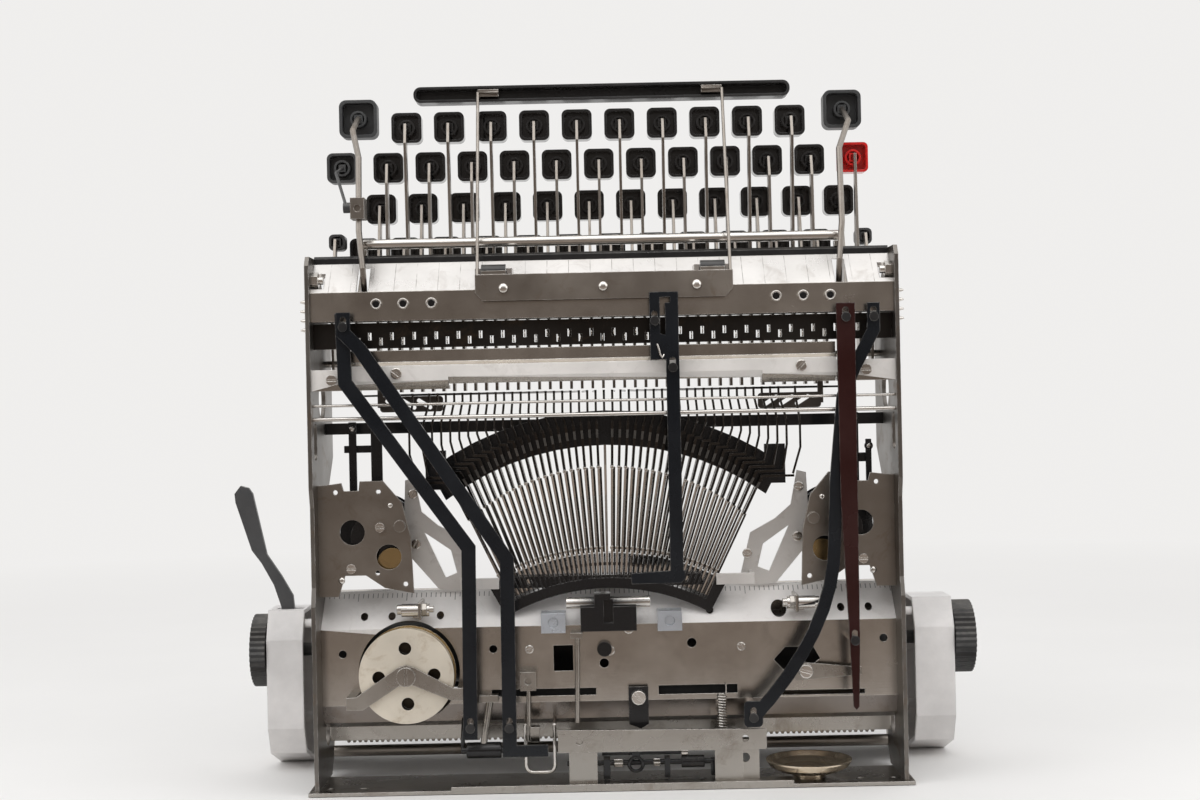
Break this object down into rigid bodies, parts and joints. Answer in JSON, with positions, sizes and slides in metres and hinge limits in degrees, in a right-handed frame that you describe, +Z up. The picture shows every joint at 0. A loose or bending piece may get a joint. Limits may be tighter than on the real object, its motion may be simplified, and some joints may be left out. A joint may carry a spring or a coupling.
{
  "type": "manual typewriter",
  "caption": "Portable manual typewriter without its casing, standing on its rear with the underside, type basket, key levers, carriage ends and linkages showing.",
  "frame": {"origin": "on the floor, in the middle of the width, under the near edge of the frame's underside", "axes": "+X to the typist's right, +Y from the underside to the key tops, +Z up from the machine's rear to its spacebar edge, as it stands in the picture"},
  "size_m": [0.3362, 0.0994, 0.3051],
  "materials": {
    "bright_steel": "satin",
    "side_steel": "satin",
    "dark_steel": "satin",
    "wire_steel": "satin",
    "zinc_steel": "satin",
    "segment_black": "satin",
    "strap_paint": "gloss",
    "strap_maroon": "satin",
    "key_plastic": "gloss",
    "grey_plastic": "matte",
    "dark_plastic": "matte",
    "red_plastic": "gloss",
    "black_metal": "satin",
    "cover_grey": "satin",
    "lever_grey": "satin",
    "platen_rubber": "matte",
    "bell_bronze": "polished",
    "drum_cream": "satin",
    "carriage_chrome": "polished"
  },
  "bodies": {
    "frame": {"left_side_plate": "side_steel", "right_side_plate": "side_steel", "front_plate": "bright_steel", "front_rail": "bright_steel", "lever_comb": "dark_steel", "middle_bar": "bright_steel", "cross_rods": "bright_steel", "rear_tie_bar": "bright_steel", "rear_channel": "bright_steel", "carriage_rail": "bright_steel", "base_plate": "bright_steel", "lower_bracket": "bright_steel", "bell": "bell_bronze", "link_wires": "wire_steel", "left_ribbon_plate": "zinc_steel", "right_ribbon_plate": "zinc_steel", "drum_bracket": "bright_steel", "escapement": "black_metal", "escapement_rods": "bright_steel", "brake_spring": "bright_steel", "frame_screws": "bright_steel"},
    "basket": {"segment": "segment_black", "typebars": "bright_steel", "connecting_wires": "wire_steel", "bell_cranks": "dark_steel", "type_rest": "bright_steel", "basket_arms": "bright_steel", "type_guide": "bright_steel"},
    "centre_key": {"centre_key": "key_plastic"},
    "centre_typebar": {"centre_typebar": "bright_steel"},
    "key_row_a": {"key_row_a": "key_plastic"},
    "key_row_b": {"key_row_b": "key_plastic"},
    "key_row_c": {"key_row_c": "key_plastic"},
    "key_row_d": {"key_row_d": "key_plastic"},
    "shift": {"shift_keys": "dark_plastic", "shift_levers": "zinc_steel"},
    "shift_lock_key": {"shift_lock_key": "grey_plastic"},
    "tab_key": {"tab_key": "red_plastic"},
    "backspace_key": {"backspace_key": "grey_plastic"},
    "margin_release_key": {"margin_release_key": "grey_plastic"},
    "spacebar": {"spacebar": "key_plastic", "spacebar_frame": "zinc_steel"},
    "left_outer_strap": {"left_outer_strap": "strap_paint"},
    "left_inner_strap": {"left_inner_strap": "strap_paint"},
    "spacebar_strap": {"spacebar_strap": "strap_paint"},
    "tab_strap": {"tab_strap": "strap_maroon"},
    "right_strap": {"right_strap": "strap_paint"},
    "mainspring_drum": {"mainspring_drum": "drum_cream"},
    "left_ribbon_spool": {"left_ribbon_spool": "black_metal"},
    "right_ribbon_spool": {"right_ribbon_spool": "black_metal"},
    "carriage": {"carriage_frame": "zinc_steel", "left_end_cover": "cover_grey", "right_end_cover": "cover_grey", "paper_table": "carriage_chrome", "escapement_rack": "zinc_steel"},
    "platen": {"platen": "platen_rubber", "platen_knobs": "dark_plastic"},
    "return_lever": {"return_lever": "lever_grey"},
    "paper_bail": {"paper_bail": "carriage_chrome"},
    "feed_rollers": {"feed_rollers": "platen_rubber"}
  },
  "joints": [
    {"name": "basket_shift", "type": "slide", "parent": "frame", "child": "basket", "axis": [0, -1, 0], "range_m": [0, 0.006]},
    {"name": "centre_key_press", "type": "hinge", "parent": "frame", "child": "centre_key", "pos_m": [0, 0.044, 0.184], "axis": [1, 0, 0], "range_deg": [0, 7], "stiffness_Nm_per_rad": 0.2, "springref_deg": -11.46},
    {"name": "centre_typebar_swing", "type": "hinge", "parent": "basket", "child": "centre_typebar", "pos_m": [0, 0.0225, 0.094], "axis": [-1, 0, 0], "range_deg": [0, 105]},
    {"name": "key_row_a_press", "type": "hinge", "parent": "frame", "child": "key_row_a", "pos_m": [0, 0.044, 0.184], "axis": [1, 0, 0], "range_deg": [0, 7], "stiffness_Nm_per_rad": 0.6, "springref_deg": -8.59},
    {"name": "key_row_b_press", "type": "hinge", "parent": "frame", "child": "key_row_b", "pos_m": [0, 0.044, 0.184], "axis": [1, 0, 0], "range_deg": [0, 7], "stiffness_Nm_per_rad": 0.6, "springref_deg": -8.59},
    {"name": "key_row_c_press", "type": "hinge", "parent": "frame", "child": "key_row_c", "pos_m": [0, 0.044, 0.184], "axis": [1, 0, 0], "range_deg": [0, 9], "stiffness_Nm_per_rad": 0.6, "springref_deg": -8.59},
    {"name": "key_row_d_press", "type": "hinge", "parent": "frame", "child": "key_row_d", "pos_m": [0, 0.044, 0.184], "axis": [1, 0, 0], "range_deg": [0, 9], "stiffness_Nm_per_rad": 0.6, "springref_deg": -8.59},
    {"name": "shift_press", "type": "hinge", "parent": "frame", "child": "shift", "pos_m": [0, 0.013, 0.2065], "axis": [1, 0, 0], "range_deg": [0, 8], "stiffness_Nm_per_rad": 1, "springref_deg": -11.46},
    {"name": "shift_lock_press", "type": "hinge", "parent": "shift", "child": "shift_lock_key", "pos_m": [-0.1087, 0.012, 0.2505], "axis": [1, 0, 0], "range_deg": [0, 6], "stiffness_Nm_per_rad": 0.1, "springref_deg": -11.46},
    {"name": "tab_press", "type": "hinge", "parent": "frame", "child": "tab_key", "pos_m": [0.1151, 0.044, 0.184], "axis": [1, 0, 0], "range_deg": [0, 7], "stiffness_Nm_per_rad": 0.2, "springref_deg": -11.46},
    {"name": "backspace_press", "type": "hinge", "parent": "frame", "child": "backspace_key", "pos_m": [-0.1204, 0.044, 0.184], "axis": [1, 0, 0], "range_deg": [0, 7], "stiffness_Nm_per_rad": 0.2, "springref_deg": -11.46},
    {"name": "margin_release_press", "type": "hinge", "parent": "frame", "child": "margin_release_key", "pos_m": [0.1204, 0.044, 0.184], "axis": [1, 0, 0], "range_deg": [0, 7], "stiffness_Nm_per_rad": 0.2, "springref_deg": -11.46},
    {"name": "spacebar_press", "type": "hinge", "parent": "frame", "child": "spacebar", "pos_m": [0, 0.003, 0.221], "axis": [1, 0, 0], "range_deg": [0, 7], "stiffness_Nm_per_rad": 0.5, "springref_deg": -17.19},
    {"name": "backspace_strap_slide", "type": "slide", "parent": "frame", "child": "left_outer_strap", "axis": [0, 0, -1], "range_m": [0, 0.003]},
    {"name": "margin_strap_slide", "type": "slide", "parent": "frame", "child": "left_inner_strap", "axis": [0, 0, -1], "range_m": [0, 0.003]},
    {"name": "spacebar_strap_slide", "type": "slide", "parent": "frame", "child": "spacebar_strap", "axis": [0, 0, -1], "range_m": [0, 0.003]},
    {"name": "tab_strap_slide", "type": "slide", "parent": "frame", "child": "tab_strap", "axis": [0, 0, -1], "range_m": [0, 0.003]},
    {"name": "bell_strap_slide", "type": "slide", "parent": "frame", "child": "right_strap", "axis": [0, 0, -1], "range_m": [0, 0.003]},
    {"name": "mainspring_turn", "type": "hinge", "parent": "frame", "child": "mainspring_drum", "pos_m": [-0.0864, 0, 0.0498], "axis": [0, 1, 0], "range_deg": [-290, 290]},
    {"name": "left_spool_turn", "type": "hinge", "parent": "frame", "child": "left_ribbon_spool", "pos_m": [-0.101, 0, 0.108], "axis": [0, 1, 0], "continuous": true},
    {"name": "right_spool_turn", "type": "hinge", "parent": "frame", "child": "right_ribbon_spool", "pos_m": [0.101, 0, 0.108], "axis": [0, 1, 0], "continuous": true},
    {"name": "carriage_travel", "type": "slide", "parent": "frame", "child": "carriage", "axis": [1, 0, 0], "range_m": [-0.1, 0.1]},
    {"name": "platen_turn", "type": "hinge", "parent": "carriage", "child": "platen", "pos_m": [0, 0.062, 0.054], "axis": [1, 0, 0], "continuous": true},
    {"name": "return_lever_swing", "type": "hinge", "parent": "carriage", "child": "return_lever", "pos_m": [-0.146, 0, 0.068], "axis": [0, 1, 0], "range_deg": [0, 30]},
    {"name": "paper_bail_lift", "type": "hinge", "parent": "carriage", "child": "paper_bail", "pos_m": [0, 0.083, 0.026], "axis": [-1, 0, 0], "range_deg": [0, 10]},
    {"name": "feed_roller_turn", "type": "hinge", "parent": "carriage", "child": "feed_rollers", "pos_m": [0, 0.07079, 0.03515], "axis": [1, 0, 0], "continuous": true}
  ],
  "couplings": [
    {"joint": "basket_shift", "follows": "shift_press", "m_per_rad": 0.04295},
    {"joint": "centre_typebar_swing", "follows": "centre_key_press", "ratio": 14.9},
    {"joint": "backspace_strap_slide", "follows": "backspace_press", "m_per_rad": 0.02292},
    {"joint": "spacebar_strap_slide", "follows": "spacebar_press", "m_per_rad": 0.02292},
    {"joint": "tab_strap_slide", "follows": "tab_press", "m_per_rad": 0.02292},
    {"joint": "margin_strap_slide", "follows": "margin_release_press", "m_per_rad": 0.02292},
    {"joint": "mainspring_turn", "follows": "carriage_travel", "rad_per_m": 49.261},
    {"joint": "feed_roller_turn", "follows": "platen_turn", "ratio": -3.5556}
  ]
}
